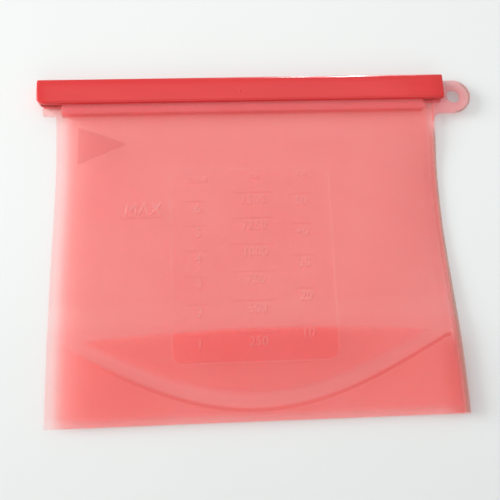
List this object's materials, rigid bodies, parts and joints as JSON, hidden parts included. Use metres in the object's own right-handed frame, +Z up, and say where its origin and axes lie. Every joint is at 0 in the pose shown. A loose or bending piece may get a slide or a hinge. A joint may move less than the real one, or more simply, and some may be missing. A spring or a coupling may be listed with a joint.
{
  "type": "reusable silicone bag",
  "caption": "Flat stand-up food bag of translucent silicone with a rigid slide bar, hang tab, base gusset and measuring scale, empty and closed.",
  "frame": {"origin": "centre of the lying bag's footprint, hang tab and bar included, on the surface it lies on", "axes": "+X along the slide bar towards the hang tab, +Y from the base hem towards the bar, +Z up out of the front wall"},
  "size_m": [0.2518, 0.194, 0.009],
  "materials": {
    "bag_silicone": "translucent, matte",
    "bar_plastic": "glossy"
  },
  "bodies": {
    "bag_back": {"back_wall": "bag_silicone", "back_shoulder": "bag_silicone", "back_collar": "bag_silicone", "back_lip": "bag_silicone", "back_hem": "bag_silicone", "left_side_seam": "bag_silicone", "right_side_seam": "bag_silicone", "tab_neck": "bag_silicone"},
    "bag_front": {"front_wall": "bag_silicone", "front_shoulder": "bag_silicone", "front_collar": "bag_silicone", "front_lip": "bag_silicone", "front_hem": "bag_silicone"},
    "gusset_back": {"gusset_back_leaf": "bag_silicone"},
    "gusset_front": {"gusset_front_leaf": "bag_silicone"},
    "slide_bar": {"slide_bar": "bar_plastic"},
    "hang_tab": {"hang_tab": "bag_silicone"}
  },
  "joints": [
    {"name": "bar_slide", "type": "slide", "parent": "bag_back", "child": "slide_bar", "axis": [-1, 0, 0], "range_m": [0, 0.236]},
    {"name": "front_rise", "type": "slide", "parent": "bag_back", "child": "bag_front", "axis": [0, 0, 1], "range_m": [0, 0.0301], "deforming": ["front_lip"]},
    {"name": "gusset_back_fold", "type": "hinge", "parent": "bag_back", "child": "gusset_back", "pos_m": [-0.00835, -0.0952, 0.0021], "axis": [1, 0, 0], "range_deg": [0, 19.9]},
    {"name": "gusset_front_fold", "type": "hinge", "parent": "bag_front", "child": "gusset_front", "pos_m": [-0.00835, -0.0952, 0.0069], "axis": [-1, 0, 0], "range_deg": [0, 19.9]},
    {"name": "hang_tab_flex", "type": "hinge", "parent": "bag_back", "child": "hang_tab", "pos_m": [0.11085, 0.084, 0.00585], "axis": [0, -1, 0], "range_deg": [-8, 80], "stiffness_Nm_per_rad": 0.003}
  ],
  "couplings": [
    {"joint": "front_rise", "follows": "bar_slide", "ratio": 0.12712},
    {"joint": "gusset_back_fold", "follows": "bar_slide", "rad_per_m": 1.4672},
    {"joint": "gusset_front_fold", "follows": "bar_slide", "rad_per_m": 1.4672}
  ]
}
